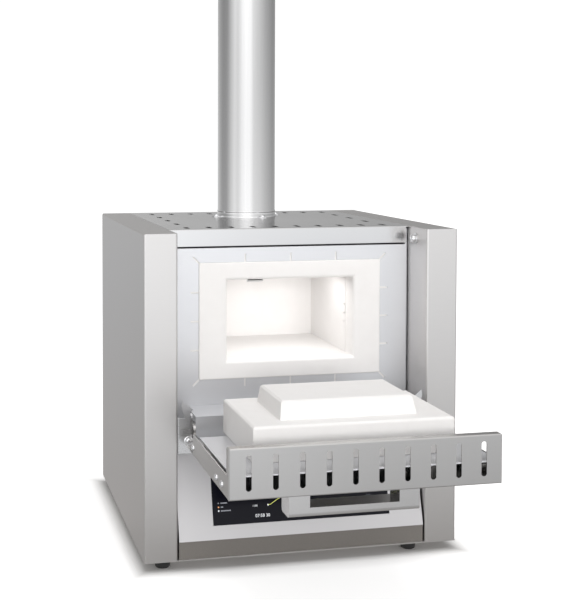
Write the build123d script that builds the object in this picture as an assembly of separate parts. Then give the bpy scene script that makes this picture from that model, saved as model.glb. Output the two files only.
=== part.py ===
from build123d import *
import math
import os

# Bench muffle furnace with a flap door and a flue. All sizes are in millimetres.
# Working frame: x to the right, y back from the front of the posts, z up from the bench.
# At the end every piece is moved in y, so that the origin is the bottom centre of the box
# round the furnace with its door open.

# ---- case: its depth and height are the stack of what it holds -------------------------------
case_width = 385.0
foot_height = 10.0
sheet = 1.5                    # stainless sheet of the case
fold_radius = 2.5              # outside radius of the visible folds
gap = 0.2                      # assembly gap between neighbouring pieces
post_width = 39.6              # front face of each side panel
niche_depth = 58.0             # how far the front sheet lies behind the posts
rear_flange = 15.0
fascia_height = 21.0
fascia_end_gap = 2.9
fascia_shadow_gap = 2.2

# ---- chamber and insulation ------------------------------------------------------------------
chamber_width = 161.0
chamber_height = 99.0
chamber_depth = 170.0          # from the collar's face to the back wall
chamber_centre_z = 280.0
collar_side = 35.0             # width of the fibre frame beside the mouth
collar_rise = 21.5             # height of the fibre frame over and under the mouth
collar_thickness = 30.0
collar_proud = 1.5
mouth_chamfer = 2.5
heating_plate = 12.0           # thickness of the side plates that carry the elements
floor_thickness = 10.0
insulation_side = 50.0
insulation_below = 58.0
insulation_above = 36.0
insulation_back = 116.0
inner_sheet = 1.0
wiring_space = 16.5            # from the inner case to the rear panel's outer face
roof_space = 25.5              # from the inner case to the top cover's outer face
slit_length = 10.0
slit_width = 2.4
slit_pitch_x = 57.8
slit_pitch_z = 35.2
element_runs = 4
element_height = 6.0           # flat heating strip, seen from the side
element_thickness = 1.6
element_margin = 9.0
element_tail = 8.0
plate_hole_radius = 1.5
plate_hole_pitch = 11.0
plate_hole_inset = 4.0
probe_radius = 3.0
probe_x = 52.0
probe_drop = 8.0
probe_tip = 18.0
probe_head_radius = 8.0
probe_head = 8.0

# ---- vents and flue --------------------------------------------------------------------------
vent_length = 20.0
vent_width = 6.0
vent_columns = 10
vent_rows = 5
vent_margin_x = 26.5
vent_margin_front = 21.8
vent_margin_rear = 38.4
flue_radius = 40.0
flue_wall = 1.0
flue_length = 330.0
flue_from_back_wall = 48.1
flue_foot_rise = 8.0
flue_foot_flare = 1.6
flue_tab_reach = 12.0
flue_tab_width = 12.0
flue_tab_corner = 3.0
flue_screw_out = 7.0
flue_screws = 4
flue_screw_turn = -76.0
duct_half = 34.0
duct_wall = 1.5
port_half = 10.0
port_drop = 3.0
duct_below_port = 5.0

# ---- fasteners -------------------------------------------------------------------------------
screw_head = 3.6
screw_head_height = 2.2
screw_shank = 1.6
screw_length = 6.0
hole_play = 0.2
rear_screw_rows = 3
rear_screw_margin = 30.0
rivet_head = 3.6
rivet_head_height = 2.4
rivet_foot = 2.6
rivet_foot_height = 1.2
dome_tip = 0.5                 # top of a domed head, as a share of its radius
bracket_screw_head = 4.6
washer_radius = 5.4
washer_height = 0.8

# ---- hinge -----------------------------------------------------------------------------------
hinge_y = 8.5
hinge_z = 161.5
pin_radius = 3.0
running_clearance = 0.05
pin_head_radius = 5.0
pin_head = 2.0
bracket_sheet = 1.2
bracket_width = 18.4           # from the post to the ear's inner face
bracket_below = 25.0           # under the hinge axis
bracket_above = 16.0
bracket_depth = 40.0
bracket_edge = 0.9
ear_depth = 34.0
ear_below = 9.0
bracket_bend = 4.2             # outside radius of the fold between plate and ear
lug_outline = (                # across from the ear, and up from the plate's top
    (10.0, 0.0),
    (13.8, 14.0),
    (13.0, 20.1),
    (0.3, 9.6),
    (3.5, 7.0),
    (4.1, 0.0),
)
bracket_screw_in = 5.8         # from the ear
bracket_screw_below = 10.5
stop_peg_radius = 3.5
stop_peg_back = 14.0
stop_gap = 0.4
shelf_above = 16.5             # top of the shelf over the hinge axis
shelf_lip = 14.5
shelf_front_y = 3.0

# ---- door, described in its closed position --------------------------------------------------
door_side_gap = 8.0            # to the posts
door_top_gap = 8.5
door_proud = 6.0               # in front of the posts
door_sheet = 1.5
casing_depth = 23.0
panel_above_hinge = 16.5
casing_above_hinge = 53.5
cap_depth = 51.5
cap_flange = 10.0
cap_edge = 1.2
cap_slots = 10
cap_slot_pitch = 27.7
cap_slot_width = 5.9
cap_slot_length = 36.0
cap_slot_start = 8.6           # from the cap's front edge
pan_side_gap = 3.9
pan_step = 1.0                 # the pan stands behind the casing's walls
pan_above_hinge = 70.5
seal_gap = 0.5
block_side_cover = 29.5        # how far the fibre block covers the collar
block_rise_cover = 15.5
block_edge = 2.0
plug_depth = 19.0
plug_base_play = 5.0
plug_tip_play = 8.0
plug_base_bottom = 3.0         # over the chamber's floor
plug_base_top = 4.5
plug_tip_bottom = 5.5
plug_tip_top = 11.5
handle_length = 143.0
handle_height = 27.0
handle_drop = 39.5             # under the door's top
handle_standoff = 35.0
handle_bar = 10.0
handle_leg = 22.5
handle_rounding = 4.5
handle_screw_head = 4.0
handle_screw_head_height = 2.2
handle_screw_shank = 2.4
lever_thickness = 3.0
lever_ear_play = 0.3
lever_width = 12.0
lever_reach = 200.0            # from the hinge axis up the closed door
lever_neck = 44.0
lever_neck_width = 8.3
lever_knuckle = 8.0
lever_tail = 19.0
lever_tail_front = 5.5
lever_corner = 3.0
rivet_above_hinge = (56.5, 169.5, 193.5)
spacer_radius = 3.9

# ---- door catch ------------------------------------------------------------------------------
catch_y = 33.0
catch_drop = 14.0
catch_radius = 4.7
catch_reach = 7.5
catch_travel = 5.0
catch_bush_radius = 7.0
catch_bush_wall = 1.4
catch_bush_length = 22.0
catch_rim = 1.2

# ---- control panel ---------------------------------------------------------------------------
console_end_gap = 1.9
plinth_y = 2.0
plinth_height = 20.0
console_foot_y = 0.8
console_foot_z = 32.0
console_slope = 15.9           # degrees back from upright
console_length = 102.0         # along the slope
display_end_margin = 41.7
display_height = 76.0
display_from_foot = 16.0
display_corner = 1.0
display_glass = 2.0
display_proud = 0.4
display_rim = 2.0
module_depth = 9.0

# ---- feet and what stands on the base plate --------------------------------------------------
foot_radius = 10.5
foot_taper = 2.0
foot_faces = 16
feet_left_inset = 24.5
feet_right_inset = 54.5
feet_front_y = 17.0
feet_rear_gap = 25.0
base_slot = (6.0, 60.0)
base_slot_pitch = 30.0
base_slots = 9
support_flange = 12.0
support_inset = (62.0, 60.0)   # from the front sheet and from the rear panel
relay_place = (60.0, 150.0)
relay_sink = (70.0, 60.0, 5.0)
relay_fin = (2.0, 25.0)
relay_fins = 8
relay_case = (45.0, 30.0, 22.0)
terminal_place = (-130.0, 230.0)
terminal_size = (60.0, 32.0, 22.0)
terminal_ways = 5
terminal_way = (6.4, 12.0)
terminal_cheek = 3.0

# ---- rear panel: louvres, mains inlet and mains switch ---------------------------------------
louvre = (60.0, 5.0)
louvre_columns = (-80.0, 0.0, 80.0)
louvre_pitch = 14.0
louvre_low = 100.0             # over the base plate
louvre_high = 52.0             # under the top
inlet_inset = 72.5             # from the case's left side to the inlet's centre
fittings_above_base = 50.0
inlet_flange = (31.0, 25.0, 3.0)
inlet_body = (27.0, 20.0, 20.0)
inlet_recess = (24.0, 16.6, 16.0)
inlet_recess_corner = 4.0
inlet_pin = (2.0, 4.0, 13.0)
inlet_pin_pitch = 7.0
inlet_earth_rise = 3.0
switch_inset = 132.5           # from the case's left side to the switch's centre
switch_half_width = 9.0
switch_rim = 4.0
switch_frame_proud = 2.0
switch_wall = 1.6
switch_depth = 18.0
switch_play = 0.4
rocker_radius = 9.5
rocker_tilt = 7.0
rocker_axis_depth = 4.5
rocker_axle_radius = 1.5
rocker_axle_reach = 1.0
rocker_valley = 5.0
rocker_corners = (46.0, 68.0, 90.0, 105.0)   # degrees from its face

rivet_share = 0.6              # how far across the lever the rivets sit
slot_corner_share = 0.3        # clipped corner of a slot, of its width
fold_share = 0.9               # bend radius of a sharp fold, of the sheet

# ---- derived places --------------------------------------------------------------------------
half_width = case_width / 2
base_z = foot_height
inner_x = half_width - post_width            # inner face of the posts
sheet_back_y = niche_depth + sheet
collar_face_y = niche_depth - collar_proud
collar_back_y = collar_face_y + collar_thickness
chamber_back_y = collar_face_y + chamber_depth
chamber_half = chamber_width / 2
chamber_floor_z = chamber_centre_z - chamber_height / 2
chamber_roof_z = chamber_centre_z + chamber_height / 2
collar_half = chamber_half + collar_side
collar_low_z = chamber_floor_z - collar_rise
collar_high_z = chamber_roof_z + collar_rise
store_half = chamber_half + heating_plate + insulation_side
store_low_z = chamber_floor_z - insulation_below
store_high_z = chamber_roof_z + insulation_above
store_back_y = chamber_back_y + insulation_back
top_z = store_high_z + inner_sheet + roof_space
case_height = top_z - base_z
rear_y = store_back_y + inner_sheet + wiring_space
flue_y = chamber_back_y + flue_from_back_wall
port_z = chamber_roof_z - port_half - port_drop
duct_floor_z = port_z - port_half - duct_below_port
probe_z = chamber_roof_z - probe_drop
element_x = chamber_half + heating_plate / 2
fascia_low_z = top_z - fascia_height
ear_x = inner_x - bracket_width              # the ear's inner face
lever_x = ear_x - lever_ear_play             # the lever's outer face
lever_inner_x = lever_x - lever_thickness
shelf_top_z = hinge_z + shelf_above
door_half = inner_x - door_side_gap
door_face_y = -door_proud
door_top_z = top_z - door_top_gap
panel_bottom_z = hinge_z + panel_above_hinge
casing_bottom_z = hinge_z + casing_above_hinge
pan_bottom_z = hinge_z + pan_above_hinge
pan_face_y = door_face_y + casing_depth + pan_step
block_face_y = collar_face_y - seal_gap
block_half = chamber_half + block_side_cover
block_low_z = chamber_floor_z - block_rise_cover
block_high_z = chamber_roof_z + block_rise_cover
handle_z = door_top_z - handle_drop - handle_height / 2
lever_front_y = door_face_y + door_sheet + gap
rivet_y = lever_front_y + lever_width * rivet_share
rivet_heights = [hinge_z + rise for rise in rivet_above_hinge]
catch_z = top_z - catch_drop
console_half = inner_x - console_end_gap
console_top_y = console_foot_y + console_length * math.sin(math.radians(console_slope))
console_top_z = console_foot_z + console_length * math.cos(math.radians(console_slope))
display_half = console_half - display_end_margin
floor_z = base_z + sheet                     # inside face of the base plate
fittings_z = base_z + fittings_above_base
inlet_x = inlet_inset - half_width
switch_x = switch_inset - half_width
rocker_axis_y = rear_y - rocker_axis_depth


# ---- shapes that several pieces share --------------------------------------------------------


def slab(x, y, z):
    """Rectangular piece between two limits on each axis."""
    centre = Pos((x[0] + x[1]) / 2, (y[0] + y[1]) / 2, (z[0] + z[1]) / 2)
    return centre * Box(x[1] - x[0], y[1] - y[0], z[1] - z[0])


def mirrored(piece):
    """The same piece for the other side of the furnace."""
    return mirror(piece, about=Plane.YZ)


def both_sides(piece):
    """The piece and its mirror image as two separate solids."""
    return Compound(children=[piece, mirrored(piece)])


def rod(radius, start, axis, length):
    """Round bar from a point along a direction."""
    return extrude(Plane(origin=start, z_dir=axis) * Circle(radius), length)


def stud(radius, start, axis, length, faces=8, tip=None):
    """Small faceted bar, such as a shank, its hole, or a head that narrows to its tip."""
    plane = Plane(origin=start, z_dir=axis)
    face = plane * RegularPolygon(radius, faces)
    if tip is None:
        return extrude(face, length)
    return loft([face, plane.offset(length) * RegularPolygon(tip, faces)], ruled=True)


def screw(seat, axis, head=screw_head, shank=screw_shank, length=screw_length):
    """Hexagon-headed screw: the head is seated at a point and the shank runs back from it."""
    back = tuple(-part for part in axis)
    return stud(head, seat, axis, screw_head_height, faces=6) + stud(shank, seat, back, length)


def upright_slot(length, width):
    """Elongated hole with clipped corners, its length along the sketch's y."""
    outline = Rectangle(width, length)
    return chamfer(outline.vertices(), width * slot_corner_share)


def open_door(piece):
    """Swing a piece of the closed door down about the hinge axis, to where it rests."""
    return Pos(0, hinge_y, hinge_z) * Rot(90, 0, 0) * Pos(0, -hinge_y, -hinge_z) * piece


# ---- case ------------------------------------------------------------------------------------


def rear_screw_places():
    """Right-hand screws of the rear panel."""
    low, high = base_z + rear_screw_margin, top_z - rear_screw_margin
    step = (high - low) / (rear_screw_rows - 1)
    x = half_width - sheet - rear_flange / 2
    return [(x, low + step * n) for n in range(rear_screw_rows)]


def folded_side():
    """Side wall, front post, inner return, top and rear flange, folded from one sheet."""
    panel = slab((inner_x, half_width), (0, rear_y), (floor_z, top_z))
    folds = [
        edge
        for edge in panel.edges()
        if (edge.center().X > half_width - gap and edge.center().Z > top_z - gap)
        or (edge.center().Y < gap and edge.length > case_height / 2)
    ]
    panel = fillet(folds, fold_radius)
    below, under = floor_z - sheet, top_z - sheet
    panel -= slab((inner_x + sheet, half_width - sheet), (sheet, rear_y - 2 * sheet), (below, under))
    panel -= slab((inner_x - sheet, inner_x + sheet), (niche_depth, rear_y + sheet), (below, under))
    panel -= slab((inner_x - sheet, half_width - sheet), (rear_y - sheet, rear_y + sheet), (below, under))
    flange_x = half_width - sheet - rear_flange
    panel -= slab((inner_x - sheet, flange_x), (rear_y - 3 * sheet, rear_y), (below, under))
    for x, z in rear_screw_places():
        panel -= stud(screw_shank + hole_play, (x, rear_y, z), (0, -1, 0), 3 * sheet)
    return panel


def side_panel_left():
    return mirrored(folded_side())


def side_panel_right():
    """Like the left one, with the hole for the door catch."""
    hole = catch_bush_radius - catch_bush_wall + gap
    return folded_side() - stud(hole, (inner_x - sheet, catch_y, catch_z), (1, 0, 0), 3 * sheet)


def flue_screw_places():
    """Places round the flue's foot, with the turn of each in degrees."""
    reach = flue_radius + flue_screw_out
    places = []
    for n in range(flue_screws):
        turn = flue_screw_turn + 360 * n / flue_screws
        side, back = math.cos(math.radians(turn)), math.sin(math.radians(turn))
        places.append((reach * side, flue_y + reach * back, turn))
    return places


def vent_places():
    """Slots in a rectangle round the top cover, except where the flue stands."""
    first_x, first_y = -inner_x + vent_margin_x, niche_depth + vent_margin_front
    step_x = -2 * first_x / (vent_columns - 1)
    step_y = (rear_y - vent_margin_rear - first_y) / (vent_rows - 1)
    clear = flue_radius + flue_tab_reach + vent_length / 2
    places = []
    for column in range(vent_columns):
        for row in range(vent_rows):
            inside = 0 < column < vent_columns - 1 and 0 < row < vent_rows - 1
            x, y = first_x + column * step_x, first_y + row * step_y
            if not inside and math.hypot(x, y - flue_y) > clear:
                places.append((x, y))
    return places


def top_cover():
    """Top sheet with its vent slots, folded down in front as the fascia."""
    edge, end = inner_x - gap, inner_x - fascia_end_gap
    cover = slab((-edge, edge), (niche_depth, rear_y), (top_z - sheet, top_z))
    cover += slab((-end, end), (niche_depth, sheet_back_y), (fascia_low_z, top_z - sheet))
    front = [
        e
        for e in cover.edges().filter_by(Axis.X)
        if e.center().Y < niche_depth + gap and e.center().Z > top_z - gap
    ]
    cover = fillet(front, sheet * fold_share)
    slot = extrude(Plane.XY.offset(top_z + sheet) * upright_slot(vent_length, vent_width), -3 * sheet)
    cover -= [Pos(x, y, 0) * slot for x, y in vent_places()]
    cover -= rod(flue_radius - flue_wall, (0, flue_y, top_z + sheet), (0, 0, -1), 3 * sheet)
    for x, y, _ in flue_screw_places():
        cover -= stud(screw_shank + hole_play, (x, y, top_z + sheet), (0, 0, -1), 3 * sheet)
    return cover


def front_sheet():
    """Sheet behind the niche, with the collar's hole and expansion slits out from it."""
    half = inner_x - fascia_end_gap + gap
    through = (niche_depth - sheet, sheet_back_y + sheet)
    heights = (console_top_z + gap, fascia_low_z - fascia_shadow_gap)
    front = slab((-half, half), (niche_depth, sheet_back_y), heights)
    hole_x, hole_z = collar_half + gap, collar_high_z - chamber_centre_z + gap
    front -= slab((-hole_x, hole_x), through, (chamber_centre_z - hole_z, chamber_centre_z + hole_z))
    upright = slab((-slit_width / 2, slit_width / 2), through, (-slit_length, slit_length))
    slits = []
    for side in (-1, 1):
        for n in (-1, 0, 1):
            slits.append(Pos(n * slit_pitch_x, 0, chamber_centre_z + side * hole_z) * upright)
            slits.append(
                Pos(side * hole_x, 0, chamber_centre_z + n * slit_pitch_z) * Rot(0, 90, 0) * upright
            )
        for rise in (-1, 1):
            corner = Pos(side * hole_x, 0, chamber_centre_z + rise * hole_z)
            slits.append(corner * Rot(0, 45 * side * rise, 0) * upright)
    return front - slits


def rear_panel():
    """Rear sheet with louvres and the holes for the mains inlet and switch."""
    edge = half_width - sheet - gap
    rear = slab((-edge, edge), (rear_y - sheet, rear_y), (floor_z + gap, top_z - sheet - gap))
    through = (rear_y - 3 * sheet, rear_y + sheet)
    for x, z in rear_screw_places():
        for side in (-1, 1):
            rear -= stud(screw_shank + hole_play, (side * x, rear_y + sheet, z), (0, -1, 0), 3 * sheet)
    inlet_half_x, inlet_half_z = inlet_body[0] / 2 + gap, inlet_body[1] / 2 + gap
    rear -= slab(
        (inlet_x - inlet_half_x, inlet_x + inlet_half_x),
        through,
        (fittings_z - inlet_half_z, fittings_z + inlet_half_z),
    )
    box_x, box_z = switch_box_half()
    rear -= slab(
        (switch_x - box_x - gap, switch_x + box_x + gap),
        through,
        (fittings_z - box_z - gap, fittings_z + box_z + gap),
    )
    slot = slab((-louvre[0] / 2, louvre[0] / 2), through, (-louvre[1] / 2, louvre[1] / 2))
    heights = [base_z + louvre_low, base_z + louvre_low + louvre_pitch]
    heights += [top_z - louvre_high, top_z - louvre_high + louvre_pitch]
    return rear - [Pos(x, 0, z) * slot for x in louvre_columns for z in heights]


def base_plate():
    """Bottom sheet with air slots, on which the side panels stand."""
    edge = half_width - gap
    base = slab((-edge, edge), (gap, rear_y - gap), (base_z, floor_z))
    slot = slab(
        (-base_slot[0] / 2, base_slot[0] / 2),
        ((rear_y - base_slot[1]) / 2, (rear_y + base_slot[1]) / 2),
        (base_z - sheet, floor_z + sheet),
    )
    first = -base_slot_pitch * (base_slots - 1) / 2
    return base - [Pos(first + n * base_slot_pitch, 0, 0) * slot for n in range(base_slots)]


def feet():
    """Four tapered rubber feet under the base plate."""
    narrow = foot_radius - foot_taper
    foot = stud(narrow, (0, 0, 0), (0, 0, 1), foot_height, faces=foot_faces, tip=foot_radius)
    left, right = -half_width + feet_left_inset, half_width - feet_right_inset
    return Compound(
        children=[Pos(x, y, 0) * foot for x in (left, right) for y in (feet_front_y, rear_y - feet_rear_gap)]
    )


# ---- flue ------------------------------------------------------------------------------------


def flue_tube():
    """Straight flue with a flared foot and four tabs that are screwed to the top."""
    inner = flue_radius - flue_wall
    with BuildPart() as tube:
        with BuildSketch(Plane.XZ):
            with BuildLine():
                Polyline(
                    (inner, 0),
                    (flue_radius + flue_foot_flare, 0),
                    (flue_radius + flue_foot_flare, flue_wall),
                    (flue_radius, flue_foot_rise),
                    (flue_radius, flue_length),
                    (inner, flue_length),
                    close=True,
                )
            make_face()
        revolve(axis=Axis.Z)
    body = tube.part
    start = flue_radius + flue_foot_flare - flue_wall / 2
    tab = slab((start, start + flue_tab_reach), (-flue_tab_width / 2, flue_tab_width / 2), (0, flue_wall))
    corners = [e for e in tab.edges().filter_by(Axis.Z) if e.center().X > start + gap]
    tab = chamfer(corners, flue_tab_corner)
    below = (flue_radius + flue_screw_out, 0, -flue_wall)
    hole = stud(screw_shank + hole_play, below, (0, 0, 1), 3 * flue_wall)
    for _, _, turn in flue_screw_places():
        body += Rot(0, 0, turn) * (tab - hole)
    return Pos(0, flue_y, top_z) * body


def flue_screws_group():
    """Screws on the flue's tabs."""
    return Compound(
        children=[
            Pos(0, flue_y, top_z + flue_wall)
            * Rot(0, 0, turn)
            * screw((flue_radius + flue_screw_out, 0, 0), (0, 0, 1))
            for _, _, turn in flue_screw_places()
        ]
    )


def duct_shape(grow):
    """Outline of the exhaust duct, a square shaft with a short pipe from the chamber."""
    half, port = duct_half + grow, port_half + duct_wall + grow
    heights = (duct_floor_z - grow, top_z - sheet - gap + grow)
    shaft = slab((-half, half), (flue_y - half, flue_y + half), heights)
    pipe = slab((-port, port), (chamber_back_y, flue_y), (port_z - port, port_z + port))
    return shaft + pipe


def exhaust_duct():
    """Folded steel duct from the chamber's port up to the flue, open at both ends."""
    ends = slab(
        (-port_half, port_half), (chamber_back_y - sheet, flue_y), (port_z - port_half, port_z + port_half)
    )
    half = duct_half - duct_wall
    bore = slab((-half, half), (flue_y - half, flue_y + half), (duct_floor_z + duct_wall, top_z))
    return duct_shape(0) - bore - ends


# ---- chamber and insulation ------------------------------------------------------------------


def fibre_collar():
    """Vacuum-formed frame round the mouth, with a chamfered opening."""
    collar = slab((-collar_half, collar_half), (collar_face_y, collar_back_y), (collar_low_z, collar_high_z))
    collar -= slab(
        (-chamber_half, chamber_half),
        (collar_face_y - sheet, collar_back_y + sheet),
        (chamber_floor_z, chamber_roof_z),
    )
    rim = [
        e
        for e in collar.edges()
        if e.center().Y < collar_face_y + gap
        and abs(e.center().X) < chamber_half + gap
        and chamber_floor_z - gap < e.center().Z < chamber_roof_z + gap
    ]
    return chamfer(rim, mouth_chamfer)


def element_bars():
    """Runs and turns of one heating element, as limits in y and z: it starts and ends behind."""
    step = chamber_height / element_runs
    heights = [chamber_floor_z + step * (n + 0.5) for n in range(element_runs)]
    front, back = collar_back_y + element_margin, chamber_back_y - element_margin
    tail = store_back_y + inner_sheet + element_tail
    half = element_height / 2
    bars = []
    for n, z in enumerate(heights):
        end = tail if n in (0, element_runs - 1) else back
        bars.append(((front, end), (z - half, z + half)))
    for n in range(element_runs - 1):
        start = front if n % 2 == 0 else back - element_height
        bars.append(((start, start + element_height), (heights[n] - half, heights[n + 1] + half)))
    return bars


def heating_element_right():
    """One flat strip, bent to and fro in the side plate, with its tails through the back."""
    half = element_thickness / 2
    strip = [slab((element_x - half, element_x + half), y, z) for y, z in element_bars()]
    return strip[0] + strip[1:]


def heating_plate_right():
    """Side plate with a groove for the element, open towards the insulation."""
    outer = chamber_half + heating_plate
    heights = (chamber_floor_z - floor_thickness, chamber_roof_z)
    plate = slab((chamber_half, outer), (collar_back_y, chamber_back_y), heights)
    depth = element_x - element_thickness / 2 - gap
    plate -= [
        slab((depth, outer + sheet), (y[0] - gap, y[1] + gap), (z[0] - gap, z[1] + gap))
        for y, z in element_bars()
    ]
    for n in (-1, 0, 1):
        height = chamber_centre_z + n * plate_hole_pitch
        place = (chamber_half - sheet, collar_back_y + plate_hole_inset, height)
        plate -= stud(plate_hole_radius, place, (1, 0, 0), heating_plate / 3 + sheet)
    return plate


def tail_slots(y):
    """Slots for the tails of both elements between two limits in y."""
    half = element_thickness / 2 + gap
    runs = [bar for bar in element_bars() if bar[0][1] > store_back_y]
    return [
        slab((side * element_x - half, side * element_x + half), y, (z[0] - gap, z[1] + gap))
        for side in (-1, 1)
        for _, z in runs
    ]


def floor_plate():
    """Ceramic plate between the heating plates, on which the charge stands."""
    edge = chamber_half - gap
    heights = (chamber_floor_z - floor_thickness, chamber_floor_z)
    return slab((-edge, edge), (collar_back_y, chamber_back_y), heights)


def roof_plate():
    """Fibre slab over the chamber and the heating plates."""
    edge = chamber_half + heating_plate
    return slab((-edge, edge), (collar_back_y, chamber_back_y), (chamber_roof_z, store_high_z))


def insulation_bottom():
    """Board under the floor and the heating plates."""
    edge = chamber_half + heating_plate
    heights = (store_low_z, chamber_floor_z - floor_thickness)
    return slab((-edge, edge), (collar_back_y, chamber_back_y), heights)


def insulation_right():
    """Board between the heating plate and the inner case."""
    inner = chamber_half + heating_plate
    return slab((inner, store_half), (collar_back_y, chamber_back_y), (store_low_z, store_high_z))


def insulation_front():
    """Board that fills the space round the collar behind the front sheet."""
    board = slab((-store_half, store_half), (sheet_back_y, collar_back_y), (store_low_z, store_high_z))
    return board - slab(
        (-collar_half, collar_half), (niche_depth, collar_back_y + sheet), (collar_low_z, collar_high_z)
    )


def insulation_rear():
    """Back board, cut out for the exhaust duct, the elements' tails and the probe."""
    block = slab((-store_half, store_half), (chamber_back_y, store_back_y), (store_low_z, store_high_z))
    block -= duct_shape(gap)
    block -= tail_slots((chamber_back_y - sheet, store_back_y + sheet))
    return block - stud(
        probe_radius + gap, (probe_x, chamber_back_y - sheet, probe_z), (0, 1, 0), insulation_back + 2 * sheet
    )


def thermocouple():
    """Ceramic-sheathed probe from behind, with its connection head."""
    tip_y = chamber_back_y - probe_tip
    head_y = store_back_y + inner_sheet
    probe = stud(probe_radius, (probe_x, tip_y, probe_z), (0, 1, 0), head_y - tip_y)
    return probe + stud(probe_head_radius, (probe_x, head_y, probe_z), (0, 1, 0), probe_head)


def inner_case():
    """Thin steel box that holds the insulation, open towards the front sheet."""
    wide = store_half + inner_sheet
    heights = (store_low_z - inner_sheet, store_high_z + inner_sheet)
    case = slab((-wide, wide), (sheet_back_y, store_back_y + inner_sheet), heights)
    case -= slab((-store_half, store_half), (niche_depth, store_back_y), (store_low_z, store_high_z))
    half = duct_half + gap
    case -= slab((-half, half), (flue_y - half, flue_y + half), (store_high_z - inner_sheet, top_z))
    case -= tail_slots((store_back_y - inner_sheet, store_back_y + 2 * inner_sheet))
    return case - stud(
        probe_radius + gap, (probe_x, store_back_y - inner_sheet, probe_z), (0, 1, 0), 3 * inner_sheet
    )


def case_supports():
    """Two folded rails that carry the inner case on the base plate."""
    top = store_low_z - inner_sheet
    rails = []
    for y in (niche_depth + support_inset[0], rear_y - support_inset[1]):
        span = (y - support_flange, y + support_flange)
        rail = slab((-store_half, store_half), span, (floor_z, top))
        rails.append(rail - slab((-store_half + sheet, store_half - sheet), span, (floor_z, top - sheet)))
    return Compound(children=rails)


# ---- hinge and shelf -------------------------------------------------------------------------


def hinge_shelf():
    """Folded shelf between the hinge brackets, under the collar."""
    lip_z = shelf_top_z - shelf_lip
    end = lever_inner_x - gap
    shelf = slab((-end, end), (shelf_front_y, niche_depth), (lip_z, shelf_top_z))
    return shelf - slab(
        (-end, end), (shelf_front_y + sheet, niche_depth - sheet), (lip_z, shelf_top_z - sheet)
    )


def bracket_screw_place(y):
    return (ear_x + bracket_screw_in, y, hinge_z - bracket_screw_below)


def hinge_bracket_right():
    """Bracket folded from one strip: base on the post's return, front plate with a lug, ear."""
    t = bracket_sheet
    low_z, ear_z, high_z = hinge_z - bracket_below, hinge_z - ear_below, hinge_z + bracket_above
    bent = slab((ear_x, inner_x), (0, ear_depth), (ear_z, high_z))
    corner = [e for e in bent.edges().filter_by(Axis.Z) if e.center().X < ear_x + gap and e.center().Y < gap]
    bent = fillet(corner, bracket_bend)
    hollow = slab((ear_x + t, inner_x - t), (t, ear_depth), (ear_z, high_z))
    corner = [
        e
        for e in hollow.edges().filter_by(Axis.Z)
        if e.center().X < ear_x + t + gap and e.center().Y < t + gap
    ]
    bracket = bent - fillet(corner, bracket_bend - t)
    bracket += slab((ear_x, inner_x), (0, t), (low_z, ear_z))
    bracket += slab((inner_x - t, inner_x), (0, bracket_depth), (low_z, high_z))
    outline = [(ear_x + across, high_z + up) for across, up in lug_outline]
    lug = make_face(Polyline(*[(x, 0, z) for x, z in outline], close=True))
    bracket += extrude(lug, t, dir=(0, 1, 0))
    outer = [
        e
        for e in bracket.edges().filter_by(Axis.Z)
        if e.center().X > inner_x - gap and e.center().Y < gap
    ]
    bracket = chamfer(outer, bracket_edge)
    bracket -= rod(pin_radius + running_clearance, (ear_x - t, hinge_y, hinge_z), (1, 0, 0), 3 * t)
    return bracket - stud(screw_shank + hole_play, bracket_screw_place(-t), (0, 1, 0), 3 * t)


def hinge_pin_right():
    """Hinge pin through the ear and the lever, with a hexagon head."""
    seat = ear_x + bracket_sheet
    head = stud(pin_head_radius, (seat, hinge_y, hinge_z), (1, 0, 0), pin_head, faces=6)
    return head + rod(pin_radius, (seat, hinge_y, hinge_z), (-1, 0, 0), seat - lever_inner_x)


def stop_peg_right():
    """Peg on the ear that the lever's tail meets when the door is fully open."""
    tail_top = hinge_z - hinge_y + lever_tail_front + 2 * (hinge_y - lever_tail_front + lever_corner)
    return stud(
        stop_peg_radius,
        (ear_x, hinge_y + stop_peg_back, tail_top + stop_gap + stop_peg_radius),
        (-1, 0, 0),
        ear_x - lever_inner_x,
    )


def bracket_screw_right():
    """Screw with a washer on the bracket's front plate."""
    washer = stud(washer_radius, bracket_screw_place(0), (0, -1, 0), washer_height)
    head = stud(
        bracket_screw_head,
        bracket_screw_place(-washer_height),
        (0, -1, 0),
        screw_head_height,
        tip=dome_tip * bracket_screw_head,
    )
    return washer + head + stud(screw_shank, bracket_screw_place(0), (0, 1, 0), screw_length)


# ---- door, built closed ----------------------------------------------------------------------


def door_panel():
    """Outer sheet of the door with its folded side walls."""
    t = door_sheet
    top = door_top_z - t
    tray = slab((-door_half, door_half), (door_face_y, door_face_y + t), (panel_bottom_z, top))
    wall = slab((door_half - t, door_half), (door_face_y, door_face_y + casing_depth), (casing_bottom_z, top))
    tray += [wall, mirrored(wall)]
    folds = [
        e
        for e in tray.edges().filter_by(Axis.Z)
        if e.center().Y < door_face_y + gap
        and abs(e.center().X) > door_half - gap
        and e.center().Z > casing_bottom_z
    ]
    tray = fillet(folds, t * fold_share)
    for side in (-1, 1):
        for z in rivet_heights:
            tray -= stud(screw_shank + hole_play, (side * (door_half + t), rivet_y, z), (-side, 0, 0), 3 * t)
    for x in handle_screw_places():
        tray -= stud(handle_screw_shank + hole_play, (x, door_face_y - t, handle_z), (0, 1, 0), 3 * t)
    return tray


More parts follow.
